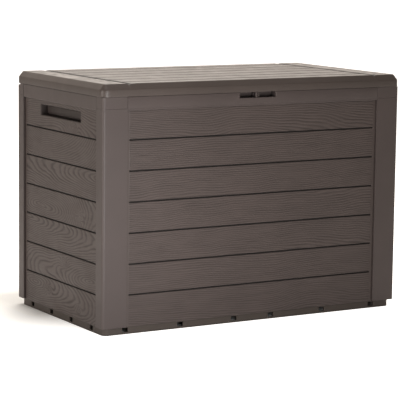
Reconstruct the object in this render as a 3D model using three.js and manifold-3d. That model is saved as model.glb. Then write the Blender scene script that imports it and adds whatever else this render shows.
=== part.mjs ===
// Panel-built resin deck box: a base tray, four plank panels held by four corner posts, a ring of
// top rails and corner caps, and a lid on two pinned hinges at the rear.
// Millimetres, +Z up, +X along the front, the front face looks to -Y. The origin is the middle of
// the footprint, on the ground.
import * as THREE from "three";
import { mergeVertices } from "three/addons/utils/BufferGeometryUtils.js";
import Module from "manifold-3d";

const wasm = await Module();
wasm.setup();

// ---------------------------------------------------------------- driving dimensions

const WIDTH = 780; // over the lid
const DEPTH = 433;
const HEIGHT = 550;
const GAP = 0.3; // between pieces that touch
const PAST = 1; // how far a cutter, or a piece that is joined on, reaches past a face
const WALL = 3; // usual moulded wall

const LID_SIDE = 28; // height of the lid's side
const LID_WALL = 3.5;
const LID_TOP_WALL = 4;
const LID_OVERHANG = 1.5; // past the body on every side
const LID_CHAMFER_IN = 10;
const LID_CHAMFER_DOWN = 12.5;
const LID_RIB = { thick: 2.5, deep: 10, pitchX: 160, pitchY: 97.5 };
const SLAT_GROOVES = 6;
const SLAT_PITCH = 65;
const SLAT_END = 322; // half the length of the slatted field
const SLAT_GROOVE = { wide: 5, floor: 2.4, deep: 2.2 };

const POST_RADIUS = 6; // vertical edge of the posts and caps
const LID_RADIUS = 14;
const BASE_RADIUS = 12;
const ARC_STEPS = 6; // per quarter turn
const POST_TUBE = 20; // the inside of a post's tube ends here
const TUBE_WALL = 3.4;
const SPIGOT = { from: 8.6, to: 19.4, long: 20 }; // of a cap, in the post's tube
const SEAM = 0.2; // a cap ends this much short of its post's edges
const PANEL_SLOT = 45; // from the corner to the end of the slot that holds a long panel
const SIDE_SLOT = 30; // and a side panel
const FLANGE_FRONT = 60; // a post's width on the front and rear
const FLANGE_SIDE = 31; // and on the sides

const BASE_HEIGHT = 16.5;
const BASE_INSET = 7.5; // of the plinth behind the posts
const BASE_WALL = 4;
const BASE_RIB = { thick: 2.5, bottom: 3, xs: [-260, -130, 0, 130, 260], ys: [-100, 0, 100] };
const BASE_UPSTAND = 36; // top of the strips that the panels stand against
const UPSTAND_END = 1; // between a strip's end and the post's flange
const FOOT = 46; // side of each corner foot pad
const NOTCH = { wide: 15, bottom: 4.5, top: 14.5, deep: 8 };
const NOTCHES_FRONT = [49, 189, 328]; // on both sides of the middle
const NOTCHES_SIDE = [50, 149];

const PANEL_INSET = 4.5; // of the planks behind the posts
const PANEL_DEPTH = 12; // over the flange that runs round a panel's back
const PANEL_TOP = 500;
const PLANK_GROOVES = 6;
const FIRST_GROOVE = 87.2;
const PLANK_PITCH = 68.1;
const PLANK_GROOVE = { wide: 4.4, floor: 2, deep: 2.2 };
const GROOVE_STOP = 7; // a groove ends this far short of the posts
const GROOVE_BACK = { high: 8, deep: 1.5 }; // ridge behind each groove

const RAIL_BOTTOM = 496;
const RAIL_LIP_BOTTOM = 492; // lower, stepped edge over the planks
const RAIL_DEPTH = 22;
const RAIL_WALL = 4;
const RAIL_STEP = 1; // of that lower edge, on the front and rear
const REAR_TOP = 518.4; // rear rail and caps lie lower, where the lid's edge swings
const REAR_LIP_TOP = 520.2; // edge that the open lid leans on
const REAR_LIP = 2.5;
const REAR_DAM = 13.5; // behind this the rear rail is full height again

const HANDLE = { long: 200, bottom: 458, top: 481.5, deep: 20, wall: 2.5 };
const HANDLE_PLATE = { deep: 14, end: 5, edge: 2.5 }; // raised plate at the back of the handle slot

const POCKET = { left: -46, right: 49, bottom: 509.5, deep: 19.3, wall: 2.5 };
const LUG = { thick: 3.7, hole: 3.2, holeIn: 7.5, holeZ: 515.5, set: 0.7, deep: 14 };
const RAIL_LUG_X = -3.5;
const LID_LUG_X = 1.8;
const LID_LUG_Z = [511, 533]; // it ends below the inside of the chamfer

const HINGE_X = 240; // of each hinge from the middle
const HINGE_WIDE = 56;
const HINGE_KNUCKLE = 20; // width of the lid leaf's knuckle
const HINGE_AXIS_IN = 5; // from the rear face in to the pin's axis
const HINGE_AXIS_Z = 528;
const HINGE_RADIUS = 5;
const HINGE_PLATE = 3;
const HINGE_FACETS = 20;
const HINGE_BLOCK_SIDE = 6; // of the rear rail's solid block, past the hinge on each side
const KNUCKLE_GAP = 0.4;
const BODY_LEAF_BELOW = 1; // the body leaf's plate stops this far under the barrel
const LID_LEAF_BEFORE = 2; // and the lid leaf's plate this far in front of it
const HINGE_CUTOUT_TOP = 536; // of the opening in the lid's rear wall
const HINGE_CUTOUT_SIDE = 2.8; // past the hinge on each side
const BODY_LEAF_BOTTOM = 500.6;
const LID_LEAF_LONG = 42; // from the pin's axis forwards
const PIN = { radius: 2, hole: 2.4, head: 3.2, headLong: 1.4, past: 1.5, facets: 16 };
const SCREW = { radius: 1.6, head: 3.5, headLong: 1.5, long: 13, spread: 18, point: 2, tip: 0.5 };
const SCREW_SLACK = 0.4; // round the head and the shank
const SCREW_FACETS = 12;
const BODY_SCREW_Z = 509;
const LID_SCREW_IN = 30; // of the lid leaf's screws in front of the rear face
const LID_SCREW_LONG = 12;
const LID_BOSS = 5.5; // radius

// ---------------------------------------------------------------- worked out from them

const BODY_X = WIDTH / 2 - LID_OVERHANG; // the posts' outer faces
const BODY_Y = DEPTH / 2 - LID_OVERHANG;
const LID_BOTTOM = HEIGHT - LID_SIDE;
const RAIL_TOP = LID_BOTTOM - GAP;
const BASE_TOP_GAP = BASE_HEIGHT + GAP;
const FLOOR_BOTTOM = BASE_HEIGHT - WALL;
const PANEL_BACK = PANEL_INSET + PANEL_DEPTH;
const HOLD = PANEL_BACK + GAP; // where a post's or the tray's inner leaf starts
const LEAF = 2.5; // its thickness
const WEB = POST_TUBE + LEAF; // the post's inner tube ends here
const HINGE_Y = BODY_Y - HINGE_AXIS_IN;
const LID_LEAF_TOP = HINGE_AXIS_Z + HINGE_RADIUS;
const LID_LEAF_BOTTOM = LID_LEAF_TOP - HINGE_PLATE;
const CORNERS = [
  { name: "front_left", sx: -1, sy: -1 },
  { name: "front_right", sx: 1, sy: -1 },
  { name: "rear_left", sx: -1, sy: 1 },
  { name: "rear_right", sx: 1, sy: 1 },
];

// ---------------------------------------------------------------- materials

const plastic = (color, roughness) =>
  new THREE.MeshStandardMaterial({ color, roughness, metalness: 0 });
const PANEL_PLASTIC = plastic(0x63584f, 0.6);
const FRAME_PLASTIC = plastic(0x6a6060, 0.5);
const LID_PLASTIC = plastic(0x6c6260, 0.5);
const BASE_PLASTIC = plastic(0x4d4841, 0.65);
const HINGE_PLASTIC = plastic(0x35302d, 0.55);
const STEEL = new THREE.MeshStandardMaterial({ color: 0x9a9a98, roughness: 0.35, metalness: 1 });

// ---------------------------------------------------------------- solids

// A closed three.js geometry as a solid that can be cut and joined.
function solid(geometry) {
  const bare = geometry.index ? geometry.toNonIndexed() : geometry.clone();
  bare.deleteAttribute("normal");
  bare.deleteAttribute("uv");
  const merged = mergeVertices(bare, 1e-4);
  return new wasm.Manifold(
    new wasm.Mesh({
      numProp: 3,
      vertProperties: new Float32Array(merged.attributes.position.array),
      triVerts: new Uint32Array(merged.index.array),
    }),
  );
}

// A solid as a named mesh.
function piece(name, shape, material) {
  const cut = shape.getMesh();
  const geometry = new THREE.BufferGeometry();
  geometry.setAttribute("position", new THREE.BufferAttribute(cut.vertProperties, 3));
  geometry.setIndex(new THREE.BufferAttribute(cut.triVerts, 1));
  geometry.computeVertexNormals();
  const mesh = new THREE.Mesh(geometry, material);
  mesh.name = name;
  return mesh;
}

const joined = (shapes) => shapes.reduce((all, next) => all.add(next));
const without = (shape, cutters) => cutters.reduce((left, next) => left.subtract(next), shape);

// The box between two values of x, of y and of z, each given in either order.
function box([x0, x1], [y0, y1], [z0, z1]) {
  const geometry = new THREE.BoxGeometry(Math.abs(x1 - x0), Math.abs(y1 - y0), Math.abs(z1 - z0));
  return solid(geometry.translate((x0 + x1) / 2, (y0 + y1) / 2, (z0 + z1) / 2));
}

const X = new THREE.Vector3(1, 0, 0);
const Y = new THREE.Vector3(0, 1, 0);
const Z = new THREE.Vector3(0, 0, 1);
const AXES = { x: [Y, Z, X], y: [Z, X, Y], z: [X, Y, Z] };

// An outline pushed along an axis. Its points are (x, y), (y, z) or (x, z) for "z", "x" and "y".
function prism(axis, points, from, to) {
  const flat = points.map(([a, b]) => (axis === "y" ? new THREE.Vector2(b, a) : new THREE.Vector2(a, b)));
  const outline = new THREE.Shape(flat);
  const geometry = new THREE.ExtrudeGeometry(outline, { depth: to - from, bevelEnabled: false });
  geometry.translate(0, 0, from);
  return solid(geometry.applyMatrix4(new THREE.Matrix4().makeBasis(...AXES[axis])));
}

// A round bar along X, Y or Z, centred on the point at its start.
function bar(axis, radius, facets, [x, y, z], long) {
  const geometry = new THREE.CylinderGeometry(radius, radius, long, facets);
  geometry.translate(0, long / 2, 0); // along +Y
  if (axis === "x") geometry.rotateZ(-Math.PI / 2);
  if (axis === "z") geometry.rotateX(Math.PI / 2);
  return solid(geometry.translate(x, y, z));
}

// Points of a quarter turn about a centre, from one angle in degrees.
function quarter([cx, cy], radius, start) {
  return Array.from({ length: ARC_STEPS + 1 }, (_, i) => {
    const angle = THREE.MathUtils.degToRad(start + (90 * i) / ARC_STEPS);
    return [cx + radius * Math.cos(angle), cy + radius * Math.sin(angle)];
  });
}

function roundedRectangle(halfX, halfY, radius) {
  const cx = halfX - radius;
  const cy = halfY - radius;
  return [
    ...quarter([cx, cy], radius, 0),
    ...quarter([-cx, cy], radius, 90),
    ...quarter([-cx, -cy], radius, 180),
    ...quarter([cx, -cy], radius, 270),
  ];
}

// A groove's section across the surface at `top`, opening towards `out` (1 or -1).
function grooveSection(at, top, out, { wide, floor, deep }) {
  return [
    [top + out, at - wide / 2],
    [top, at - wide / 2],
    [top - out * deep, at - floor / 2],
    [top - out * deep, at + floor / 2],
    [top, at + wide / 2],
    [top + out, at + wide / 2],
  ];
}

// ---------------------------------------------------------------- base tray

function baseTray() {
  const halfX = BODY_X - BASE_INSET;
  const halfY = BODY_Y - BASE_INSET;
  const inX = halfX - BASE_WALL;
  const inY = halfY - BASE_WALL;
  const skirt = prism("z", roundedRectangle(halfX, halfY, BASE_RADIUS), 0, BASE_HEIGHT);
  const under = roundedRectangle(inX, inY, BASE_RADIUS - BASE_WALL);
  const shell = skirt.subtract(prism("z", under, -PAST, FLOOR_BOTTOM));

  const half = BASE_RIB.thick / 2;
  const ribZ = [BASE_RIB.bottom, BASE_HEIGHT - PAST];
  const overX = [-inX - PAST, inX + PAST];
  const overY = [-inY - PAST, inY + PAST];
  const ribs = [
    ...BASE_RIB.xs.map((x) => box([x - half, x + half], overY, ribZ)),
    ...BASE_RIB.ys.map((y) => box(overX, [y - half, y + half], ribZ)),
  ];
  const footprint = prism("z", roundedRectangle(halfX, halfY, BASE_RADIUS), 0, WALL);
  const feet = CORNERS.map(({ sx, sy }) => {
    const corner = box([sx * (halfX - FOOT), sx * halfX], [sy * (halfY - FOOT), sy * halfY], [0, WALL]);
    return footprint.intersect(corner);
  });

  const stripX = BODY_X - FLANGE_FRONT - UPSTAND_END;
  const stripY = BODY_Y - FLANGE_SIDE - UPSTAND_END;
  const stripZ = [BASE_HEIGHT - PAST, BASE_UPSTAND];
  const upstands = [-1, 1].flatMap((side) => [
    box([-stripX, stripX], [side * (BODY_Y - HOLD), side * (BODY_Y - HOLD - LEAF)], stripZ),
    box([side * (BODY_X - HOLD), side * (BODY_X - HOLD - LEAF)], [-stripY, stripY], stripZ),
  ]);

  const notchZ = [NOTCH.bottom, NOTCH.top];
  const across = (at) => [at - NOTCH.wide / 2, at + NOTCH.wide / 2];
  const notches = [-1, 1].flatMap((face) => {
    const frontY = [face * (halfY - NOTCH.deep), face * (halfY + PAST)];
    const sideX = [face * (halfX - NOTCH.deep), face * (halfX + PAST)];
    return [
      ...NOTCHES_FRONT.flatMap((x) => [box(across(x), frontY, notchZ), box(across(-x), frontY, notchZ)]),
      ...NOTCHES_SIDE.flatMap((y) => [box(sideX, across(y), notchZ), box(sideX, across(-y), notchZ)]),
    ];
  });
  return without(joined([shell, ...ribs, ...feet, ...upstands]), notches);
}

// ---------------------------------------------------------------- plank panels

// A panel across Y or X: `half` is half its length, `plane` the outer face, `side` which way it looks.
function plankPanel(axis, side, plane, half, grooveHalf) {
  const face = side * (plane - PANEL_INSET);
  const deep = (d) => face - side * d; // d behind the outer face
  const pair = (a, b) => [deep(a), deep(b)];
  const place = (along, across, z) => (axis === "x" ? box(along, across, z) : box(across, along, z));

  const plate = place([-half, half], pair(0, PANEL_DEPTH), [BASE_TOP_GAP, PANEL_TOP]);
  const inside = place(
    [-half + WALL, half - WALL],
    pair(WALL, PANEL_DEPTH + PAST),
    [BASE_TOP_GAP + WALL, PANEL_TOP - WALL],
  );
  let panel = plate.subtract(inside);
  for (let i = 0; i < PLANK_GROOVES; i++) {
    const z = FIRST_GROOVE + i * PLANK_PITCH;
    const ridgeZ = [z - GROOVE_BACK.high / 2, z + GROOVE_BACK.high / 2];
    const ridgeDeep = pair(WALL - PAST, WALL + GROOVE_BACK.deep);
    const ridge = place([-half + PAST, half - PAST], ridgeDeep, ridgeZ);
    const section = grooveSection(z, face, side, PLANK_GROOVE);
    panel = panel.add(ridge).subtract(prism(axis, section, -grooveHalf, grooveHalf));
  }
  return panel;
}

// A side panel with its recessed handle.
function handlePanel(side) {
  const half = BODY_Y - WEB - GAP;
  const grooveHalf = BODY_Y - FLANGE_SIDE - GROOVE_STOP;
  const panel = plankPanel("y", side, BODY_X, half, grooveHalf);
  const face = BODY_X - PANEL_INSET;
  const span = (a, b) => [side * (face - a), side * (face - b)];
  const long = HANDLE.long / 2;
  const { wall } = HANDLE;
  const block = box(
    span(WALL - PAST, HANDLE.deep + wall),
    [-long - wall, long + wall],
    [HANDLE.bottom - wall, HANDLE.top + wall],
  );
  const slot = box(span(-PAST, HANDLE.deep), [-long, long], [HANDLE.bottom, HANDLE.top]);
  const plate = box(
    span(HANDLE_PLATE.deep, HANDLE.deep + PAST),
    [-long + HANDLE_PLATE.end, long - HANDLE_PLATE.end],
    [HANDLE.bottom + HANDLE_PLATE.edge, HANDLE.top - HANDLE_PLATE.edge],
  );
  return panel.add(block).subtract(slot).add(plate);
}

function longPanel(side) {
  const half = BODY_X - WEB - GAP;
  return plankPanel("x", side, BODY_Y, half, BODY_X - FLANGE_FRONT - GROOVE_STOP);
}

// ---------------------------------------------------------------- corners

// Corner outlines are drawn as (u, v): inwards from the side face and from the front or rear face.
const atCorner = ({ sx, sy }, points) => points.map(([u, v]) => [sx * (BODY_X - u), sy * (BODY_Y - v)]);
const outerArc = quarter([POST_RADIUS, POST_RADIUS], POST_RADIUS, 180);

function cornerPost(corner) {
  const lip = PANEL_INSET - GAP;
  const outline = [
    ...outerArc,
    [FLANGE_FRONT, 0],
    [FLANGE_FRONT, lip],
    [FLANGE_FRONT - WALL, lip],
    [FLANGE_FRONT - WALL, WALL],
    [WEB, WALL],
    [WEB, HOLD],
    [PANEL_SLOT, HOLD],
    [PANEL_SLOT, HOLD + LEAF],
    [WEB, HOLD + LEAF],
    [WEB, WEB],
    [HOLD + LEAF, WEB],
    [HOLD + LEAF, SIDE_SLOT],
    [HOLD, SIDE_SLOT],
    [HOLD, WEB],
    [WALL, WEB],
    [WALL, FLANGE_SIDE - WALL],
    [lip, FLANGE_SIDE - WALL],
    [lip, FLANGE_SIDE],
    [0, FLANGE_SIDE],
  ];
  const tube = [
    ...quarter([POST_RADIUS, POST_RADIUS], POST_RADIUS - TUBE_WALL, 180),
    [POST_TUBE, TUBE_WALL],
    [POST_TUBE, POST_TUBE],
    [TUBE_WALL, POST_TUBE],
  ];
  const solidPost = prism("z", atCorner(corner, outline), BASE_TOP_GAP, RAIL_BOTTOM - GAP);
  return solidPost.subtract(prism("z", atCorner(corner, tube), 0, HEIGHT));
}

function cornerCap(corner) {
  const frontEnd = FLANGE_FRONT - SEAM;
  const sideEnd = FLANGE_SIDE - SEAM;
  const rear = corner.sy > 0;
  const ceiling = (rear ? REAR_TOP : RAIL_TOP) - WALL;
  const outline = [
    ...outerArc,
    [frontEnd, 0],
    [frontEnd, RAIL_DEPTH],
    [RAIL_DEPTH, RAIL_DEPTH],
    [RAIL_DEPTH, sideEnd],
    [0, sideEnd],
  ];
  const inner = RAIL_DEPTH - WALL;
  const hollow = [
    ...quarter([POST_RADIUS, POST_RADIUS], POST_RADIUS - WALL, 180),
    [frontEnd + PAST, WALL],
    [frontEnd + PAST, inner],
    [inner, inner],
    [inner, sideEnd + PAST],
    [WALL, sideEnd + PAST],
  ];
  const { from, to, long } = SPIGOT;
  const spigot = [[from, from], [to, from], [to, to], [from, to]];
  let cap = prism("z", atCorner(corner, outline), RAIL_BOTTOM, RAIL_TOP);
  cap = cap.subtract(prism("z", atCorner(corner, hollow), RAIL_BOTTOM - PAST, ceiling));
  cap = cap.add(prism("z", atCorner(corner, spigot), RAIL_BOTTOM - long, ceiling + PAST));
  if (!rear) return cap;
  const relief = [[-PAST, -PAST], [FLANGE_FRONT, -PAST], [FLANGE_FRONT, REAR_DAM], [-PAST, REAR_DAM]];
  return cap.subtract(prism("z", atCorner(corner, relief), REAR_TOP, HEIGHT));
}

// ---------------------------------------------------------------- top rails

// The section of a rail as (distance in from the outer face, z).
function railSection(step, ceiling, top) {
  const inner = RAIL_DEPTH - WALL;
  return [
    ...top,
    [RAIL_DEPTH, RAIL_BOTTOM],
    [inner, RAIL_BOTTOM],
    [inner, ceiling],
    [RAIL_WALL, ceiling],
    [RAIL_WALL, RAIL_LIP_BOTTOM],
    [step, RAIL_LIP_BOTTOM],
    ...(step ? [[step, RAIL_BOTTOM], [0, RAIL_BOTTOM]] : []),
  ];
}

const RAIL_FLAT = [[0, RAIL_TOP], [RAIL_DEPTH, RAIL_TOP]];
const longRailHalf = BODY_X - FLANGE_FRONT - GAP;

function sideRail(side) {
  const section = railSection(0, RAIL_TOP - WALL, RAIL_FLAT).map(([u, z]) => [side * (BODY_X - u), z]);
  const half = BODY_Y - FLANGE_SIDE - GAP;
  return prism("y", section, -half, half);
}

// The front rail runs in two bars, with the housing of the latch pocket between them.
const frontSection = railSection(RAIL_STEP, RAIL_TOP - WALL, RAIL_FLAT).map(([v, z]) => [v - BODY_Y, z]);
const HOUSING_LEFT = POCKET.left - POCKET.wall;
const HOUSING_RIGHT = POCKET.right + POCKET.wall;

function frontRail(side) {
  return side < 0
    ? prism("x", frontSection, -longRailHalf, HOUSING_LEFT - GAP)
    : prism("x", frontSection, HOUSING_RIGHT + GAP, longRailHalf);
}

function latchPocket() {
  const { left, right, bottom, deep, wall } = POCKET;
  const block = box(
    [HOUSING_LEFT, HOUSING_RIGHT],
    [-BODY_Y, -BODY_Y + RAIL_DEPTH],
    [bottom - wall, RAIL_TOP],
  );
  const hollow = box([left, right], [-BODY_Y - PAST, -BODY_Y + deep], [bottom, RAIL_TOP + PAST]);
  return prism("x", frontSection, HOUSING_LEFT, HOUSING_RIGHT).add(block).subtract(hollow);
}

// A padlock lug from its outline in (y, z), with the hole for the shackle.
function padlockLug(x, outline) {
  const holeAt = [x - PAST, -BODY_Y + LUG.holeIn, LUG.holeZ];
  const hole = bar("x", LUG.hole, HINGE_FACETS, holeAt, LUG.thick + 2 * PAST);
  return prism("x", outline, x, x + LUG.thick).subtract(hole);
}

// The lug that stands in the latch pocket.
function railLug() {
  const front = -BODY_Y + LUG.set;
  const back = -BODY_Y + POCKET.deep - GAP;
  const low = POCKET.bottom + GAP;
  return padlockLug(RAIL_LUG_X, [[front, low], [back, low], [back, RAIL_TOP], [front, RAIL_TOP]]);
}

// The lug that hangs from the lid beside it, behind the lid's front wall.
function lidLug() {
  const front = -BODY_Y + LUG.set;
  const wallBack = -DEPTH / 2 + LID_WALL + GAP;
  const back = -BODY_Y + LUG.deep;
  const [low, high] = LID_LUG_Z;
  return padlockLug(LID_LUG_X, [
    [front, low],
    [back, low],
    [back, high],
    [wallBack, high],
    [wallBack, RAIL_TOP],
    [front, RAIL_TOP],
  ]);
}

const screwHole = (axis, at, long) => bar(axis, SCREW.radius + SCREW_SLACK, SCREW_FACETS, at, long);

function rearRail() {
  const top = [
    [0, REAR_LIP_TOP],
    [REAR_LIP, REAR_TOP],
    [REAR_DAM, REAR_TOP],
    [REAR_DAM, RAIL_TOP],
    [RAIL_DEPTH, RAIL_TOP],
  ];
  const section = railSection(RAIL_STEP, REAR_TOP - WALL, top).map(([v, z]) => [BODY_Y - v, z]);
  let rail = prism("x", section, -longRailHalf, longRailHalf);
  const leafHalf = HINGE_WIDE / 2 + GAP;
  for (const centre of [-HINGE_X, HINGE_X]) {
    const blockHalf = leafHalf + HINGE_BLOCK_SIDE;
    const block = box(
      [centre - blockHalf, centre + blockHalf],
      [BODY_Y - RAIL_DEPTH + PAST, BODY_Y - PAST],
      [PANEL_TOP + PAST, REAR_TOP - PAST],
    );
    const recess = box(
      [centre - leafHalf, centre + leafHalf],
      [BODY_Y - HINGE_PLATE - GAP, BODY_Y + PAST],
      [BODY_LEAF_BOTTOM - GAP, HEIGHT],
    );
    rail = rail.add(block).subtract(recess);
    for (const side of [-1, 1]) {
      const at = [centre + side * SCREW.spread, BODY_Y - SCREW.long - PAST, BODY_SCREW_Z];
      rail = rail.subtract(screwHole("y", at, SCREW.long + 2 * PAST));
    }
  }
  return rail;
}

// ---------------------------------------------------------------- lid

// A rounded block whose upper edge is chamfered, with its top at `top` and nothing below `bottom`.
function chamferedBlock(halfX, halfY, radius, bottom, top) {
  const outline = roundedRectangle(
    halfX - LID_CHAMFER_IN,
    halfY - LID_CHAMFER_IN,
    radius - LID_CHAMFER_IN,
  ).map(([x, y]) => new THREE.Vector2(x, y));
  const depth = top - bottom; // its lower bevel falls below `bottom`, and is cut off
  const geometry = new THREE.ExtrudeGeometry(new THREE.Shape(outline), {
    depth,
    bevelSize: LID_CHAMFER_IN,
    bevelThickness: LID_CHAMFER_DOWN,
    bevelSegments: 1,
  });
  geometry.translate(0, 0, top - depth - LID_CHAMFER_DOWN);
  return solid(geometry).subtract(box([-WIDTH, WIDTH], [-DEPTH, DEPTH], [bottom - HEIGHT, bottom]));
}

function lid() {
  const outer = chamferedBlock(WIDTH / 2, DEPTH / 2, LID_RADIUS, LID_BOTTOM, HEIGHT);
  const inX = WIDTH / 2 - LID_WALL;
  const inY = DEPTH / 2 - LID_WALL;
  const ceiling = HEIGHT - LID_TOP_WALL;
  const hollow = chamferedBlock(inX, inY, LID_RADIUS - LID_WALL, LID_BOTTOM - PAST, ceiling);
  let shell = outer.subtract(hollow);

  const ribZ = [ceiling - LID_RIB.deep, ceiling + PAST];
  const half = LID_RIB.thick / 2;
  for (const step of [-2, -1, 0, 1, 2]) {
    const x = step * LID_RIB.pitchX;
    shell = shell.add(box([x - half, x + half], [-inY - PAST, inY + PAST], ribZ).intersect(outer));
  }
  for (const step of [-1, 0, 1]) {
    const y = step * LID_RIB.pitchY;
    shell = shell.add(box([-inX - PAST, inX + PAST], [y - half, y + half], ribZ).intersect(outer));
  }

  for (let i = 0; i < SLAT_GROOVES; i++) {
    const y = (i - (SLAT_GROOVES - 1) / 2) * SLAT_PITCH;
    const section = grooveSection(y, HEIGHT, 1, SLAT_GROOVE).map(([z, across]) => [across, z]);
    shell = shell.subtract(prism("x", section, -SLAT_END, SLAT_END));
  }
  for (const x of [-SLAT_END, SLAT_END]) {
    const section = grooveSection(x, HEIGHT, 1, SLAT_GROOVE).map(([z, across]) => [across, z]);
    shell = shell.subtract(prism("y", section, -DEPTH / 2, DEPTH / 2));
  }

  const bossBottom = LID_LEAF_TOP + GAP;
  const bossLong = ceiling + PAST - bossBottom;
  const cutHalf = HINGE_WIDE / 2 + HINGE_CUTOUT_SIDE;
  for (const centre of [-HINGE_X, HINGE_X]) {
    const cutX = [centre - cutHalf, centre + cutHalf];
    const cutY = [DEPTH / 2 - LID_WALL - PAST, DEPTH / 2 + PAST];
    shell = shell.subtract(box(cutX, cutY, [LID_BOTTOM - PAST, HINGE_CUTOUT_TOP]));
    for (const side of [-1, 1]) {
      const x = centre + side * SCREW.spread;
      const y = BODY_Y - LID_SCREW_IN;
      const boss = bar("z", LID_BOSS, SCREW_FACETS, [x, y, bossBottom], bossLong);
      const hole = screwHole("z", [x, y, bossBottom - PAST], LID_SCREW_LONG);
      shell = shell.add(boss).subtract(hole);
    }
  }
  return shell;
}

// ---------------------------------------------------------------- hinges

const onAxis = (radius, from, to) => bar("x", radius, HINGE_FACETS, [from, HINGE_Y, HINGE_AXIS_Z], to - from);
const knuckle = (from, to) => onAxis(HINGE_RADIUS, from, to);
const pinHole = () => onAxis(PIN.hole, -HINGE_WIDE / 2 - PAST, HINGE_WIDE / 2 + PAST);

function headHole(axis, at) {
  return bar(axis, SCREW.head + SCREW_SLACK, SCREW_FACETS, at, SCREW.headLong + 2 * PAST);
}

// Upright leaf let into the rear rail, with the two outer knuckles.
function bodyLeaf() {
  const half = HINGE_WIDE / 2;
  const inner = HINGE_KNUCKLE / 2 + KNUCKLE_GAP;
  const plateY = [BODY_Y - HINGE_PLATE, BODY_Y];
  const plateTop = HINGE_AXIS_Z - HINGE_RADIUS - BODY_LEAF_BELOW;
  let leaf = box([-half, half], plateY, [BODY_LEAF_BOTTOM, plateTop]);
  for (const [from, to] of [[-half, -inner], [inner, half]]) {
    leaf = leaf.add(box([from, to], plateY, [plateTop - PAST, HINGE_AXIS_Z])).add(knuckle(from, to));
  }
  leaf = leaf.subtract(pinHole());
  for (const side of [-1, 1]) {
    const x = side * SCREW.spread;
    const start = [x, BODY_Y - HINGE_PLATE - PAST, BODY_SCREW_Z];
    leaf = leaf.subtract(screwHole("y", start, HINGE_PLATE + 2 * PAST));
    leaf = leaf.subtract(headHole("y", [x, BODY_Y - SCREW.headLong - GAP, BODY_SCREW_Z]));
  }
  return leaf;
}

// Level leaf under the lid, with the middle knuckle.
function lidLeaf() {
  const half = HINGE_WIDE / 2;
  const mid = HINGE_KNUCKLE / 2;
  const plateZ = [LID_LEAF_BOTTOM, LID_LEAF_TOP];
  const nearBarrel = HINGE_Y - HINGE_RADIUS - LID_LEAF_BEFORE;
  let leaf = box([-half, half], [HINGE_Y - LID_LEAF_LONG, nearBarrel], plateZ);
  leaf = leaf.add(box([-mid, mid], [nearBarrel - PAST, HINGE_Y], plateZ)).add(knuckle(-mid, mid));
  leaf = leaf.subtract(pinHole());
  for (const side of [-1, 1]) {
    const x = side * SCREW.spread;
    const y = BODY_Y - LID_SCREW_IN;
    leaf = leaf.subtract(screwHole("z", [x, y, LID_LEAF_BOTTOM - PAST], HINGE_PLATE + 2 * PAST));
    leaf = leaf.subtract(headHole("z", [x, y, LID_LEAF_BOTTOM + GAP - 2 * PAST]));
  }
  return leaf;
}

// A turned piece that stands on its head along +Y, from its half profile of (radius, height).
function turned(profile, facets) {
  const points = profile.map(([r, h]) => new THREE.Vector2(r, h));
  return solid(new THREE.LatheGeometry(points, facets));
}

function hingePin() {
  const { radius, head, headLong, past, facets } = PIN;
  const long = HINGE_WIDE + headLong + past;
  return turned([[0, 0], [head, 0], [head, headLong], [radius, headLong], [radius, long], [0, long]], facets);
}

function screw(long) {
  const { radius, head, headLong, point, tip } = SCREW;
  const shank = [[radius, headLong], [radius, long - point], [tip, long], [0, long]];
  return turned([[0, 0], [head, 0], [head, headLong], ...shank], SCREW_FACETS);
}

// ---------------------------------------------------------------- assembly

const deckBox = new THREE.Group();
const carcass = new THREE.Group();
const lidGroup = new THREE.Group();
deckBox.add(carcass, lidGroup);

carcass.add(piece("base_tray", baseTray(), BASE_PLASTIC));
carcass.add(piece("front_panel", longPanel(-1), PANEL_PLASTIC));
carcass.add(piece("rear_panel", longPanel(1), PANEL_PLASTIC));
carcass.add(piece("left_panel", handlePanel(-1), PANEL_PLASTIC));
carcass.add(piece("right_panel", handlePanel(1), PANEL_PLASTIC));
for (const corner of CORNERS) {
  carcass.add(piece(`corner_post_${corner.name}`, cornerPost(corner), FRAME_PLASTIC));
  carcass.add(piece(`corner_cap_${corner.name}`, cornerCap(corner), FRAME_PLASTIC));
}
carcass.add(piece("front_rail_left", frontRail(-1), FRAME_PLASTIC));
carcass.add(piece("front_rail_right", frontRail(1), FRAME_PLASTIC));
carcass.add(piece("latch_pocket", latchPocket(), FRAME_PLASTIC));
carcass.add(piece("rail_padlock_lug", railLug(), FRAME_PLASTIC));
carcass.add(piece("rear_rail", rearRail(), FRAME_PLASTIC));
carcass.add(piece("left_rail", sideRail(-1), FRAME_PLASTIC));
carcass.add(piece("right_rail", sideRail(1), FRAME_PLASTIC));
lidGroup.add(piece("lid", lid(), LID_PLASTIC));
lidGroup.add(piece("lid_padlock_lug", lidLug(), LID_PLASTIC));

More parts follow.
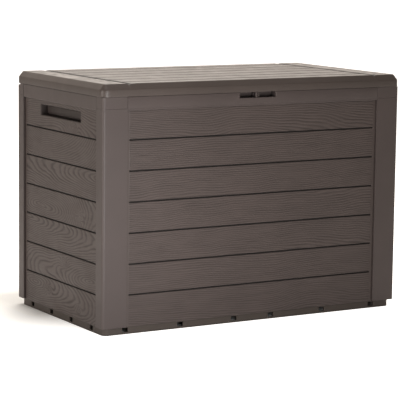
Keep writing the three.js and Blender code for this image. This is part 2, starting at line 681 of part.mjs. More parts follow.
for (const [name, side] of [["left", -1], ["right", 1]]) {
  const onBody = new THREE.Group();
  const onLid = new THREE.Group();
  onBody.position.x = side * HINGE_X;
  onLid.position.x = side * HINGE_X;
  carcass.add(onBody);
  lidGroup.add(onLid);
  onBody.add(piece(`hinge_body_leaf_${name}`, bodyLeaf(), HINGE_PLASTIC));
  onLid.add(piece(`hinge_lid_leaf_${name}`, lidLeaf(), HINGE_PLASTIC));

  const pin = piece(`hinge_pin_${name}`, hingePin(), STEEL);
  pin.rotation.z = -Math.PI / 2;
  pin.position.set(-HINGE_WIDE / 2 - PIN.headLong - GAP, HINGE_Y, HINGE_AXIS_Z);
  onBody.add(pin);

  for (const [label, spot] of [["outer", side], ["inner", -side]]) {
    const bodyScrew = piece(`body_screw_${name}_${label}`, screw(SCREW.long), STEEL);
    bodyScrew.rotation.x = Math.PI;
    bodyScrew.position.set(spot * SCREW.spread, BODY_Y, BODY_SCREW_Z);
    onBody.add(bodyScrew);

    const lidScrew = piece(`lid_screw_${name}_${label}`, screw(LID_SCREW_LONG), STEEL);
    lidScrew.rotation.x = Math.PI / 2;
    lidScrew.position.set(spot * SCREW.spread, BODY_Y - LID_SCREW_IN, LID_LEAF_BOTTOM);
    onLid.add(lidScrew);
  }
}

export default deckBox;
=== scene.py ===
"""Looks of the deck storage box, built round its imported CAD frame. Metres, +Z up, the front looks to -Y."""

import math

import bmesh
import bpy
import numpy as np
from mathutils import Matrix, Vector


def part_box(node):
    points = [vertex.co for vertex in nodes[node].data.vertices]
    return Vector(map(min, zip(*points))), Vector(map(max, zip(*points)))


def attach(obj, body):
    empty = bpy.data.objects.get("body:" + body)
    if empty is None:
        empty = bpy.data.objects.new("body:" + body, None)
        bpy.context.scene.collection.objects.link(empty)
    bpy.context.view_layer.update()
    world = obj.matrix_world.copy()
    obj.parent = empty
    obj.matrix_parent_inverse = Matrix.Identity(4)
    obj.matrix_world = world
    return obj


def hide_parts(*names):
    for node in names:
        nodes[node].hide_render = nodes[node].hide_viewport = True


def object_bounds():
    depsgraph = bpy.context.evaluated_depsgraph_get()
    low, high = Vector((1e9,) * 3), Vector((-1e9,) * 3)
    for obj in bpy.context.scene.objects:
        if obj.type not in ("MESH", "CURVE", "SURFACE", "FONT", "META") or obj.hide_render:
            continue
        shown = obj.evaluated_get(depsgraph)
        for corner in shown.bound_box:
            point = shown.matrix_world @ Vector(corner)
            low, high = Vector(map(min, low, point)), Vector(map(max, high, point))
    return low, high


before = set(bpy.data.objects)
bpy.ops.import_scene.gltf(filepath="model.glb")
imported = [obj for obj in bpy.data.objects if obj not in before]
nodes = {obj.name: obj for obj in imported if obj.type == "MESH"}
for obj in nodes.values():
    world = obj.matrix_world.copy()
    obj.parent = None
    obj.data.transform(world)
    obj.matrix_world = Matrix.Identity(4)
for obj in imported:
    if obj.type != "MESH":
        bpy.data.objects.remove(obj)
cad_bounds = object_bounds()

MM = 0.001
HIGH = np.array(cad_bounds[1]) / MM  # the whole object's upper corner, in mm

# ---------------------------------------------------------------- sizes (mm)

GROOVE_PITCH = 68.1  # plank grooves
FIRST_GROOVE = 87.2
GROOVES = 6
GROOVE_DEEP = 2.2
PLANK_MARGIN = 7  # a plank ends this far short of the posts
PANEL_WALL = 3
PANEL_DEEP = 12  # from its face to the back of its rim
RIDGE = {"high": 8, "deep": 1.5}
OVERLAP = 1  # joined pieces run this far into each other, and tools this far past what they cut

LID_RADIUS = 14
LID_WALL = 3.5
LID_TOP_WALL = 4
LID_CHAMFER = {"in": 10, "down": 12.5}
LID_BEND = {"top": 1.5, "skirt": 2, "rim": 1, "inside": 0.8}  # how far each soft edge of the lid reaches
LID_RIB = {"thick": 2.5, "deep": 10, "pitch_x": 160, "pitch_y": 97.5}
SLAT_PITCH = 65
SLAT_GROOVES = SLAT_PITCH * (np.arange(6) - 2.5)
SLAT_END = 322
END_STRIP_MIDDLE = 350
SLAT_GROOVE_DEEP = 2.2
QUARTER_TURN = np.radians(np.linspace(0, 90, 6))
TINY = 1e-6


def node_box(name):
    low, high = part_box(name)
    return np.array(low) / MM, np.array(high) / MM


# ---------------------------------------------------------------- meshes


def add_object(name, vertices, faces, smooth_below=32):
    """A mesh object from points in mm. Edges sharper than smooth_below degrees stay sharp."""
    mesh = bpy.data.meshes.new(name)
    mesh.from_pydata((np.asarray(vertices, float) * MM).tolist(), [], faces)
    mesh.update()
    made = bpy.data.objects.new(name, mesh)
    bpy.context.scene.collection.objects.link(made)
    smooth(made, smooth_below)
    return made


def smooth(piece, below=32):
    piece.data.shade_smooth()
    piece.data.set_sharp_from_angle(angle=math.radians(below))


def loft(name, loops, smooth_below=32):
    """A closed solid through loops of points that all have the same number of points."""
    count = len(loops[0])
    vertices = np.concatenate([np.asarray(loop, float) for loop in loops])
    faces = [list(range(count))[::-1], list(range(len(vertices) - count, len(vertices)))]
    for row in range(len(loops) - 1):
        for i in range(count):
            j = (i + 1) % count
            a, b = row * count, (row + 1) * count
            faces.append([a + i, a + j, b + j, b + i])
    return add_object(name, vertices, faces, smooth_below)


def rounded_rectangle(half_a, half_b, radius, steps=6):
    """Points of a rounded rectangle about the origin, counter-clockwise."""
    points = []
    for quarter, (sa, sb) in enumerate([(1, 1), (-1, 1), (-1, -1), (1, -1)]):
        for angle in np.radians(np.linspace(90 * quarter, 90 * quarter + 90, steps + 1)):
            points.append([
                sa * (half_a - radius) + radius * math.cos(angle),
                sb * (half_b - radius) + radius * math.sin(angle),
            ])
    return np.array(points)


def tool_box(low, high):
    """A plain box used to cut or join."""
    low, high = np.minimum(low, high), np.maximum(low, high)
    corners = [[low[0], low[1]], [high[0], low[1]], [high[0], high[1]], [low[0], high[1]]]
    return loft("tool", [[[*c, low[2]] for c in corners], [[*c, high[2]] for c in corners]])


def tool_bar(radius, start, end, facets=24):
    """A plain round bar between two points."""
    start, end = np.array(start, float), np.array(end, float)
    axis = (end - start) / np.linalg.norm(end - start)
    side = np.cross(axis, [0, 0, 1] if abs(axis[2]) < 0.9 else [1, 0, 0])
    side /= np.linalg.norm(side)
    up = np.cross(axis, side)
    turns = np.linspace(0, 2 * math.pi, facets, endpoint=False)
    ring = radius * (np.outer(np.cos(turns), side) + np.outer(np.sin(turns), up))
    return loft("tool", [start + ring, end + ring])


def combine(piece, *steps, smooth_below=32):
    """Joins or cuts a piece with others, which are used up."""
    for operation, other in steps:
        modifier = piece.modifiers.new(operation, "BOOLEAN")
        modifier.operation = operation
        modifier.solver = "MANIFOLD"
        modifier.object = other
        bpy.context.view_layer.update()
        evaluated = piece.evaluated_get(bpy.context.evaluated_depsgraph_get())
        made = bpy.data.meshes.new_from_object(evaluated)
        piece.modifiers.clear()
        piece.data = made
        bpy.data.objects.remove(other)
    smooth(piece, smooth_below)
    return piece


def join(tools):
    """One piece out of several."""
    return combine(tools[0], *[("UNION", other) for other in tools[1:]])


# ---------------------------------------------------------------- wood grain as relief


class Noise:
    """Smooth noise between -1 and 1 over a plane, the same each run for one seed."""

    def __init__(self, seed, size=64):
        self.size = size
        self.table = np.random.default_rng(seed).uniform(-1, 1, (size, size))

    def __call__(self, a, b):
        ia, ib = np.floor(a).astype(int), np.floor(b).astype(int)
        fa, fb = a - ia, b - ib
        fa, fb = fa * fa * (3 - 2 * fa), fb * fb * (3 - 2 * fb)
        ia, ib = ia % self.size, ib % self.size
        ja, jb = (ia + 1) % self.size, (ib + 1) % self.size
        table = self.table
        low = table[ia, ib] * (1 - fa) + table[ja, ib] * fa
        high = table[ia, jb] * (1 - fa) + table[ja, jb] * fa
        return low * (1 - fb) + high * fb


def smoothstep(low, high, x):
    t = np.clip((x - low) / (high - low), 0, 1)
    return t * t * (3 - 2 * t)


def grain(u, v, seed, heart, taper, spacing, knots=()):
    """Height from 0 to 1 of wood grain on one plank. u runs along it and v across it from its middle.
    heart is the height of the log's centre beside the plank, and taper turns straight lines into arches.
    Each knot is (u, v, radius)."""
    noise = Noise(seed)

    def waves(size, along, across=math.inf, shift=(0, 0)):
        """Random waves up to a size, about so long along the plank and so long across it."""
        return size * noise(u / along + shift[0], v / across + shift[1])

    centre = heart + waves(9, 170) + waves(3, 60, shift=(0, 5))
    deep = 26 + taper * u + waves(10, 140, 200, (9, 3))
    field = np.hypot(v - centre, deep)  # how far out of the log a place is
    field += waves(1.5, 48, 17, (20, 0)) + waves(0.5, 15, 7, (4, 0))
    for at_u, at_v, size in knots:
        near = np.exp(-(((u - at_u) / (1.7 * size)) ** 2 + ((v - at_v) / size) ** 2))
        field += 2.4 * size * near
    phase = field / spacing
    line = np.abs(phase - np.floor(phase) - 0.5) * 2  # 1 on a ring line, 0 between two
    strength = 0.72 + waves(0.28, 40, 6, (31, 0))
    fibre = 0.5 + waves(0.5, 22, 1.7, (0, 13))
    return 1 - strength * smoothstep(0.35, 1.0, line) - 0.16 * fibre


# ---------------------------------------------------------------- plank panels

PLAIN = 0.85  # the height that smooth surfaces have among embossed ones
PANEL_GRID = {"u": (5.0, 2.8), "v": 0.95}  # mm between its points, with u for a long panel and for an end
LID_GRID = {"x": 7, "y": 1.15}


def paint(piece, name, values, elsewhere):
    """Keeps a number at each of a piece's first points, and another at all others, for its material."""
    shade = np.full(len(piece.data.vertices), elsewhere, np.float32)
    shade[:values.size] = values.reshape(-1)
    piece.data.attributes.new(name, "FLOAT", "POINT").data.foreach_set("value", shade)


def spread(low, high, step, fine=(), fine_step=0.45, reach=3.3):
    """Positions from low to high about step apart, closer near each place in fine."""
    places = [low]
    while places[-1] < high - TINY:
        here = places[-1]
        near = any(abs(here + fine_step / 2 - place) < reach for place in fine)
        wide = fine_step if near else step
        ahead = [place - reach - here for place in fine if place - reach - here > TINY]
        if not near and ahead:
            wide = min(wide, max(min(ahead), fine_step))
        places.append(min(here + wide, high))
    if places[-1] - places[-2] < fine_step / 2:
        places.pop(-2)
    return np.array(places)


def slab(name, us, vs, relief, back, place):
    """A closed slab: its face at relief(u, v) mm behind the outer plane, its back at `back` mm."""
    uu, vv = np.meshgrid(us, vs, indexing="ij")
    rows, columns = uu.shape
    front = np.stack([uu, relief(uu, vv), vv], axis=-1).reshape(-1, 3)
    index = np.arange(rows * columns).reshape(rows, columns)
    quads = np.stack([index[:-1, :-1], index[1:, :-1], index[1:, 1:], index[:-1, 1:]], axis=-1)
    faces = quads.reshape(-1, 4).tolist()
    rim = list(index[:, 0]) + list(index[-1, 1:]) + list(index[-2::-1, -1]) + list(index[0, -2:0:-1])
    behind = front[rim].copy()
    behind[:, 1] = back
    first = len(front)
    count = len(rim)
    for i in range(count):
        j = (i + 1) % count
        faces.append([int(rim[j]), int(rim[i]), first + i, first + j])
    faces.append([first + i for i in range(count)][::-1])
    points = np.concatenate([front, behind])
    made = add_object(name, place(points), faces)
    paint(made, "relief", relief.height(uu, vv), PLAIN)
    # the groove mask also tells the material where to paint shade
    paint(made, "groove", relief.groove(uu, vv), 0)
    return made


class PlankRelief:
    """How far each point of a panel's face lies behind its outer plane, in mm."""

    EMBOSS = 0.55
    MARGIN_STEP = 0.35  # how far back the plain margin at a panel's ends lies
    FADE = 1.6  # the grain fades out over this much before the margin
    GROOVE = (0.8, 2.2)  # half the width of a groove's floor and of its mouth
    GROOVE_FADE = 1.2  # a groove runs out over this much

    def __init__(self, half, planks):
        self.half = half  # half the length of the planks
        self.planks = planks
        self.grooves = FIRST_GROOVE + GROOVE_PITCH * np.arange(GROOVES)

    def inside(self, u):
        return smoothstep(0, self.FADE, self.half - np.abs(u))

    def height(self, u, v):
        """1 on the crests of the grain, down to 0 in its lines."""
        number = np.clip(np.ceil((v - FIRST_GROOVE) / GROOVE_PITCH), 0, GROOVES).astype(int)
        high = np.zeros_like(u)
        for plank, settings in enumerate(self.planks):
            mine = number == plank
            middle = FIRST_GROOVE + (plank - 0.5) * GROOVE_PITCH
            high[mine] = grain(u[mine], v[mine] - middle, **settings)
        return PLAIN + (high - PLAIN) * self.inside(u)

    def groove(self, u, v):
        """1 on a groove's floor, 0 outside its mouth."""
        away = np.min(np.abs(v[..., None] - self.grooves), axis=-1)
        along = smoothstep(0, self.GROOVE_FADE, self.half - np.abs(u))
        return (1 - smoothstep(*self.GROOVE, away)) * along

    def __call__(self, u, v):
        groove = self.groove(u, v)
        planks = self.EMBOSS * (1 - self.height(u, v))
        inside = self.inside(u)
        plain = planks * inside + self.MARGIN_STEP * (1 - inside)
        return np.maximum(plain * (1 - groove) + GROOVE_DEEP * groove, 0)


def plank_panel(name, along, side, planks):
    """A panel of planks with a rim and ridges behind. `along` is 0 for a long panel, 1 for an end."""
    low, high = node_box(name)
    across = 1 - along
    face = high[across] if side > 0 else low[across]
    bottom, top = low[2], high[2]
    half = high[along]
    post_low, post_high = node_box("corner_post_front_right")
    between_posts = post_low[0] if along == 0 else -post_high[1]
    plank_half = between_posts - PLANK_MARGIN

    def place(points):
        """From (along the panel, behind its face, up) to the object's axes."""
        out = np.empty_like(points)
        out[:, across] = face - side * points[:, 1]
        out[:, along] = points[:, 0] * (-side if along == 0 else side)
        out[:, 2] = points[:, 2]
        return out

    relief = PlankRelief(plank_half, planks)
    ends = [-plank_half, plank_half]
    us = spread(-half, half, PANEL_GRID["u"][along], fine=ends, fine_step=0.6, reach=2.4)
    vs = spread(bottom, top, PANEL_GRID["v"], fine=relief.grooves)
    made = slab(f"{name}_planks", us, vs, relief, PANEL_WALL, place)

    def at(u0, u1, d0, d1, v0, v1):
        corners = place(np.array([[u0, d0, v0], [u1, d1, v1]], float))
        return corners[0], corners[1]

    wall, deep = PANEL_WALL, PANEL_DEEP
    rim_start = wall - OVERLAP
    rim = tool_box(*at(-half, half, rim_start, deep, bottom, top))
    hollow = (rim_start - OVERLAP, deep + OVERLAP, bottom + wall, top - wall)
    backing = [combine(rim, ("DIFFERENCE", tool_box(*at(-half + wall, half - wall, *hollow))))]
    for z in relief.grooves:
        ridge = (wall - 0.4, wall + RIDGE["deep"], z - RIDGE["high"] / 2, z + RIDGE["high"] / 2)
        backing.append(tool_box(*at(-half + OVERLAP, half - OVERLAP, *ridge)))
    steps = []
    if along == 1:
        housing, slot = handle(at, place)
        backing.append(housing)
        steps.append(("DIFFERENCE", slot))
    combine(made, ("UNION", join(backing)), *steps)
    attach(made, "box")
    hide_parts(name)
    return made


HANDLE = {"long": 200, "bottom": 458, "top": 481.5, "deep": 20, "wall": 2.5, "corner": 1, "lip": 1.8}
HANDLE_PLATE = {"deep": 14, "end": 5, "edge": 2.5, "corner": 1.5, "round": 1.6}
LIP_START = 0.15  # a lip's bend starts this far behind the face, past the crests of the grain
LIP_PAST = 0.4  # the slot is this much wider in front of the face


def handle(at, place):
    """The recessed handle: a block behind the face, and a slot for it round a raised plate at its back."""
    half, wall = HANDLE["long"] / 2, HANDLE["wall"]
    low, high = HANDLE["bottom"], HANDLE["top"]
    middle, half_high = (low + high) / 2, (high - low) / 2
    housing_start, housing_end = PANEL_WALL - 0.5, HANDLE["deep"] + wall
    housing = tool_box(*at(-half - wall, half + wall, housing_start, housing_end, low - wall, high + wall))

    def ring(grow, deep, length, height, radius):
        flat = rounded_rectangle(length + grow, height + grow, radius + grow, 4)
        return place(np.column_stack([flat[:, 0], np.full(len(flat), deep), flat[:, 1] + middle]))

    lip, size = HANDLE["lip"], (half, half_high, HANDLE["corner"])
    loops = [ring(lip + LIP_PAST, -OVERLAP, *size)]
    for turn in QUARTER_TURN:
        loops.append(ring(lip * (1 - math.sin(turn)), LIP_START + lip * (1 - math.cos(turn)), *size))
    loops.append(ring(0, HANDLE["deep"], *size))
    slot = loft("tool", loops)

    edge, front = HANDLE_PLATE["round"], HANDLE_PLATE["deep"]
    size = (half - HANDLE_PLATE["end"], half_high - HANDLE_PLATE["edge"], HANDLE_PLATE["corner"])
    loops = [ring(0, HANDLE["deep"] + OVERLAP, *size)]
    for turn in QUARTER_TURN:
        loops.append(ring(-edge * (1 - math.cos(turn)), front + edge * (1 - math.sin(turn)), *size))
    plate = loft("tool", loops)
    fix_outward(slot)
    fix_outward(plate)
    return housing, combine(slot, ("DIFFERENCE", plate))


def fix_outward(piece):
    """Turns a closed solid's faces outwards."""
    work = bmesh.new()
    work.from_mesh(piece.data)
    bmesh.ops.recalc_face_normals(work, faces=work.faces)
    work.to_mesh(piece.data)
    work.free()


# ---------------------------------------------------------------- materials

EDGE_HIGHLIGHT_AND_WEAR = 0.8 * MM  # how far from an edge the painted highlight and the smoother finish reach
CREVICE_SHADE_REACH = 6 * MM  # how wide a gap gets painted shade


def new_material(name):
    material = bpy.data.materials.new(name)
    material.use_nodes = True
    tree = material.node_tree
    tree.nodes.clear()
    output = tree.nodes.new("ShaderNodeOutputMaterial")
    shader = tree.nodes.new("ShaderNodeBsdfPrincipled")
    tree.links.new(shader.outputs[0], output.inputs["Surface"])
    return material, tree, shader


def dress(piece, material):
    """Gives a piece one material."""
    piece.data.materials.clear()
    piece.data.materials.append(material)


def linear(*srgb):
    """A colour given as on a screen, 0 to 255, as a shader takes it."""
    return [((c / 255 + 0.055) / 1.055) ** 2.4 if c > 10 else c / 255 / 12.92 for c in srgb] + [1]


class Nodes:
    """Short ways to add and join shader nodes."""

    def __init__(self, tree):
        self.tree = tree

    def add(self, kind, settings=None, **inputs):
        node = self.tree.nodes.new("ShaderNode" + kind)
        for key, value in (settings or {}).items():
            setattr(node, key, value)
        for key, value in inputs.items():
            self.set(node.inputs[key.replace("_", " ")], value)
        return node

    def set(self, socket, value):
        if isinstance(value, bpy.types.NodeSocket):
            self.tree.links.new(value, socket)
        else:
            socket.default_value = value

    def noise(self, vector, scale, detail=3, roughness=0.55):
        node = self.add("TexNoise", None, Scale=scale, Detail=detail, Roughness=roughness)
        self.set(node.inputs["Vector"], vector)
        return node.outputs["Fac"]

    def scaled(self, vector, x, y, z):
        node = self.add("Mapping")
        self.set(node.inputs["Vector"], vector)
        node.inputs["Scale"].default_value = (x, y, z)
        return node.outputs["Vector"]

    def ramp(self, value, low, high, to_low, to_high):
        node = self.add("MapRange")
        keys = ("Value", "From Min", "From Max", "To Min", "To Max")
        for key, number in zip(keys, (value, low, high, to_low, to_high)):
            self.set(node.inputs[key], number)
        return node.outputs["Result"]

    def mix(self, factor, first, second):
        node = self.add("Mix", {"data_type": "RGBA"})
        self.set(node.inputs["Factor"], factor)
        self.set(node.inputs[6], first)
        self.set(node.inputs[7], second)
        return node.outputs[2]

    def math(self, operation, first, second):
        node = self.add("Math", {"operation": operation})
        self.set(node.inputs[0], first)
        self.set(node.inputs[1], second)
        return node.outputs[0]


def resin(name, colour, roughness=0.42, fibre_axis=None, relief=False):
    """Moulded resin: mottled colour, fine texture, edges with a painted highlight, painted shade in narrow
    gaps and, with relief, in grooves, and fibres along an axis if any.
    """

    def tone(factor, more=0):
        """The colour made lighter or darker."""
        return linear(*[min(255, c * factor + more) for c in colour])

    material, tree, shader = new_material(name)
    n = Nodes(tree)
    place = n.add("TexCoord").outputs["Object"]
    cloud = n.noise(place, 7.0, 2)
    speckle = n.noise(place, 900.0, 2, 0.6)
    base = n.mix(n.ramp(cloud, 0.3, 0.7, 0.0, 1.0), tone(0.965), tone(1.035))
    base = n.mix(n.ramp(speckle, 0.35, 0.65, 0.0, 0.10), base, tone(1.2))

    # Edges, where a rounded normal leaves the true one, get a painted highlight in patches and are smoother
    # there, as if worn.
    rounded = n.add("Bevel", {"samples": 6}, Radius=EDGE_HIGHLIGHT_AND_WEAR).outputs["Normal"]
    apart = n.add("VectorMath", {"operation": "DOT_PRODUCT"})
    n.set(apart.inputs[0], rounded)
    n.set(apart.inputs[1], n.add("NewGeometry").outputs["Normal"])
    edge_highlight_and_wear = n.ramp(apart.outputs["Value"], 0.985, 0.86, 0.0, 0.5)
    highlight_patches = n.ramp(n.noise(place, 60.0, 4, 0.65), 0.45, 0.62, 0.25, 1.0)
    base = n.mix(n.math("MULTIPLY", edge_highlight_and_wear, highlight_patches), base, tone(1.28, 6))
    rough = n.ramp(n.noise(place, 24.0, 4, 0.6), 0.3, 0.7, roughness - 0.05, roughness + 0.06)
    rough = n.math("SUBTRACT", rough, n.math("MULTIPLY", edge_highlight_and_wear, 0.5))

    # Narrow gaps and inner corners are painted darker: painted shade.
    open_sky = n.add("AmbientOcclusion", {"samples": 6}, Distance=CREVICE_SHADE_REACH).outputs["AO"]
    base = n.mix(n.ramp(open_sky, 0.3, 0.85, 0.85, 0.0), base, tone(0.3))
    height = n.math("MULTIPLY", speckle, 0.35)
    if fibre_axis is not None:
        stretch = [1.0, 1.0, 1.0]
        stretch[fibre_axis] = 0.035
        fibres = n.noise(n.scaled(place, *stretch), 620.0, 3, 0.7)
        base = n.mix(n.ramp(fibres, 0.42, 0.6, 0.0, 0.16), base, tone(0.8))
        height = n.math("ADD", height, n.math("MULTIPLY", fibres, 0.9))
    if relief:
        high = n.add("Attribute", {"attribute_name": "relief"}).outputs["Fac"]
        base = n.mix(n.ramp(high, 0.15, 0.95, 0.65, 0.0), base, tone(0.62))
        # Grooves are painted much darker, as painted shade, and are rougher.
        groove = n.add("Attribute", {"attribute_name": "groove"}).outputs["Fac"]
        base = n.mix(n.ramp(groove, 0.1, 0.8, 0.0, 0.95), base, tone(0.26))
        rough = n.math("ADD", rough, n.ramp(high, 0.2, 0.9, 0.10, 0.0))
        rough = n.math("ADD", rough, n.ramp(groove, 0.05, 0.8, 0.0, 0.35))
    bump = n.add("Bump", None, Strength=0.22, Distance=0.0004)
    n.set(bump.inputs["Height"], height)
    n.set(shader.inputs["Base Color"], base)
    n.set(shader.inputs["Roughness"], rough)
    n.set(shader.inputs["Normal"], bump.outputs[0])
    shader.inputs["IOR"].default_value = 1.49
    shader.inputs["Specular IOR Level"].default_value = 0.35
    return material


def steel(name, colour, roughness):
    """Bright steel with fine streaks and duller spots."""
    material, tree, shader = new_material(name)
    n = Nodes(tree)
    place = n.add("TexCoord").outputs["Object"]
    streaks = n.noise(n.scaled(place, 1.0, 1.0, 0.05), 2500.0, 3, 0.6)
    spots = n.noise(place, 300.0, 3, 0.6)
    base = n.mix(n.ramp(spots, 0.4, 0.65, 0.0, 0.5), linear(*colour), linear(*[c * 0.82 for c in colour]))
    n.set(shader.inputs["Base Color"], base)
    n.set(shader.inputs["Roughness"], n.ramp(streaks, 0.3, 0.7, roughness - 0.08, roughness + 0.12))
    bump = n.add("Bump", None, Strength=0.15, Distance=0.0002)
    n.set(bump.inputs["Height"], streaks)
    n.set(shader.inputs["Normal"], bump.outputs[0])
    shader.inputs["Metallic"].default_value = 1.0
    return material


UMBER = (79, 69, 66)
PLANKS_LONG = resin("plank_resin_long", UMBER, 0.46, fibre_axis=0, relief=True)
PLANKS_END = resin("plank_resin_end", UMBER, 0.46, fibre_axis=1, relief=True)
FRAME_RESIN = resin("frame_resin", (76, 67, 65), 0.42)
LID_RESIN = resin("lid_resin", (77, 68, 64), 0.38, fibre_axis=0, relief=True)
BASE_RESIN = resin("base_resin", (68, 60, 55), 0.55)
HINGE_RESIN = resin("hinge_resin", (52, 47, 44), 0.5)
PIN_STEEL = steel("pin_wire", (170, 168, 164), 0.35)
SCREW_STEEL = steel("zinc_screw", (176, 176, 172), 0.32)

# ---------------------------------------------------------------- plank panels of the box

LONG_PLANKS = [
    {"seed": 11, "heart": -62, "taper": 0.02, "spacing": 4.3},
    {"seed": 12, "heart": 70, "taper": -0.03, "spacing": 4.4},
    {"seed": 13, "heart": -58, "taper": 0.05, "spacing": 4.2},
    {"seed": 14, "heart": 60, "taper": 0.03, "spacing": 4.5},
    {"seed": 15, "heart": -75, "taper": -0.04, "spacing": 4.3},
    {"seed": 16, "heart": 66, "taper": 0.02, "spacing": 4.4},
    {"seed": 17, "heart": -50, "taper": 0.06, "spacing": 4.6},
]
END_PLANKS = [
    {"seed": 21, "heart": 8, "taper": 0.22, "spacing": 4.2, "knots": [(-60, 6, 9), (92, -12, 7)]},
    {"seed": 22, "heart": -12, "taper": -0.2, "spacing": 4.1, "knots": [(20, 14, 9)]},
    {"seed": 23, "heart": 20, "taper": 0.15, "spacing": 4.0},
    {"seed": 24, "heart": -6, "taper": 0.28, "spacing": 4.1, "knots": [(95, -8, 10)]},
    {"seed": 25, "heart": 24, "taper": -0.12, "spacing": 4.0},
    {"seed": 26, "heart": 60, "taper": 0.45, "spacing": 4.2, "knots": [(-120, -22, 9)]},
    {"seed": 27, "heart": -38, "taper": 0.15, "spacing": 4.2, "knots": [(62, -20, 11)]},
]

panels = {
    "front_panel": plank_panel("front_panel", 0, -1, LONG_PLANKS),
    "rear_panel": plank_panel("rear_panel", 0, 1, LONG_PLANKS[::-1]),
    "left_panel": plank_panel("left_panel", 1, -1, END_PLANKS),
    "right_panel": plank_panel("right_panel", 1, 1, END_PLANKS[::-1]),
}
for name, panel in panels.items():
    dress(panel, PLANKS_LONG if name in ("front_panel", "rear_panel") else PLANKS_END)


# ---------------------------------------------------------------- lid

SLATS = [
    {"seed": 31, "heart": -46, "taper": 0.02, "spacing": 4.4},
    {"seed": 32, "heart": 52, "taper": -0.03, "spacing": 4.2},
    {"seed": 33, "heart": -30, "taper": 0.04, "spacing": 4.5},
    {"seed": 34, "heart": 48, "taper": 0.02, "spacing": 4.3},
    {"seed": 35, "heart": -55, "taper": -0.03, "spacing": 4.4},
    {"seed": 36, "heart": 34, "taper": 0.03, "spacing": 4.2},
    {"seed": 37, "heart": -50, "taper": 0.02, "spacing": 4.5},
]
END_STRIPS = [
    {"seed": 38, "heart": 44, "taper": 0.03, "spacing": 4.3},
    {"seed": 39, "heart": -44, "taper": -0.03, "spacing": 4.3},
]


class SlatRelief:
    """How far each point of the lid's top lies below its highest plane, in mm."""

    EMBOSS = 0.16
    SHOULDER = 1.0  # the slats fall away this much towards their edges
    SLOPE = (1, 9)  # from where to where, from a groove's middle
    GROOVE = (1.9, 3.0)  # half the width of a groove's floor and of its mouth
    DULL_AND_SHADED = (2.2, 5)  # the groove and the strip beside it, which is duller and painted darker as painted shade
    GROOVE_FADE = 1.5  # a groove along the slats runs out over this much
    RIM = (1.5, 5)  # the grain fades out from the second to the first, from the chamfer's edge

    def near_groove(self, x, y, floor, edge):
        """1 within `floor` mm of a groove's middle, falling to 0 at `edge`."""
        away = np.min(np.abs(y[..., None] - SLAT_GROOVES), axis=-1)
        along = (1 - smoothstep(floor, edge, away)) * smoothstep(0, self.GROOVE_FADE, SLAT_END - np.abs(x))
        across = 1 - smoothstep(floor, edge, np.abs(np.abs(x) - SLAT_END))
        return np.maximum(along, across)

    def groove(self, x, y):
        return self.near_groove(x, y, *self.GROOVE)

    def dull_and_shaded(self, x, y):
        return self.near_groove(x, y, *self.DULL_AND_SHADED)

    def height(self, x, y):
        """1 on the crests of the grain, down to 0 in its lines."""
        high = np.zeros_like(x)
        middle_slat = len(SLATS) // 2
        number = np.clip(np.round(y / SLAT_PITCH) + middle_slat, 0, len(SLATS) - 1).astype(int)
        field = np.abs(x) < SLAT_END
        for slat, settings in enumerate(SLATS):
            mine = field & (number == slat)
            high[mine] = grain(x[mine], y[mine] - (slat - middle_slat) * SLAT_PITCH, **settings)
        for settings, mine in zip(END_STRIPS, (x <= -SLAT_END, x >= SLAT_END)):
            high[mine] = grain(y[mine], np.abs(x[mine]) - END_STRIP_MIDDLE, **settings)
        rim = np.minimum(HIGH[0] - LID_CHAMFER["in"] - np.abs(x), HIGH[1] - LID_CHAMFER["in"] - np.abs(y))
        return PLAIN + (high - PLAIN) * smoothstep(*self.RIM, rim)

    def __call__(self, x, y):
        groove = self.groove(x, y)
        slat = self.EMBOSS * (1 - self.height(x, y))
        slat += self.SHOULDER * self.near_groove(x, y, *self.SLOPE)
        return slat * (1 - groove) + SLAT_GROOVE_DEEP * groove


def bend(start, corner, end, steps=4):
    """Points of a soft bend from start to end, drawn towards corner."""
    t = np.linspace(0, 1, steps + 1)[:, None]
    start, corner, end = np.array(start), np.array(corner), np.array(end)
    return ((1 - t) ** 2 * start + 2 * t * (1 - t) * corner + t ** 2 * end).tolist()


def lid_profile(top, bottom):
    """From the edge of the flat top, out and down over the chamfer, round the rim and up inside.
    Each point is (how far outside the chamfer's upper edge, z)."""
    out, down = LID_CHAMFER["in"], LID_CHAMFER["down"]
    slope = math.atan2(down, out)
    run, rise = math.cos(slope), math.sin(slope)
    inner, skirt_top = out - LID_WALL, top - down
    ceiling = top - LID_TOP_WALL
    soft = LID_BEND["top"]
    points = bend((-soft, top), (0, top), (soft * run, top - soft * rise))
    points.append([4 * run, top - 4 * rise])  # keeps the chamfer flat beyond the bend
    soft = LID_BEND["skirt"]
    points += bend((out - soft * run, skirt_top + soft * rise), (out, skirt_top), (out, skirt_top - soft))
    soft = LID_BEND["rim"]
    points += bend((out, bottom + soft), (out, bottom), (out - soft, bottom), 3)
    soft = LID_BEND["inside"]
    points += bend((inner + soft, bottom), (inner, bottom), (inner, bottom + soft), 2)
    return points + [[inner, ceiling - down], [inner - out, ceiling]]


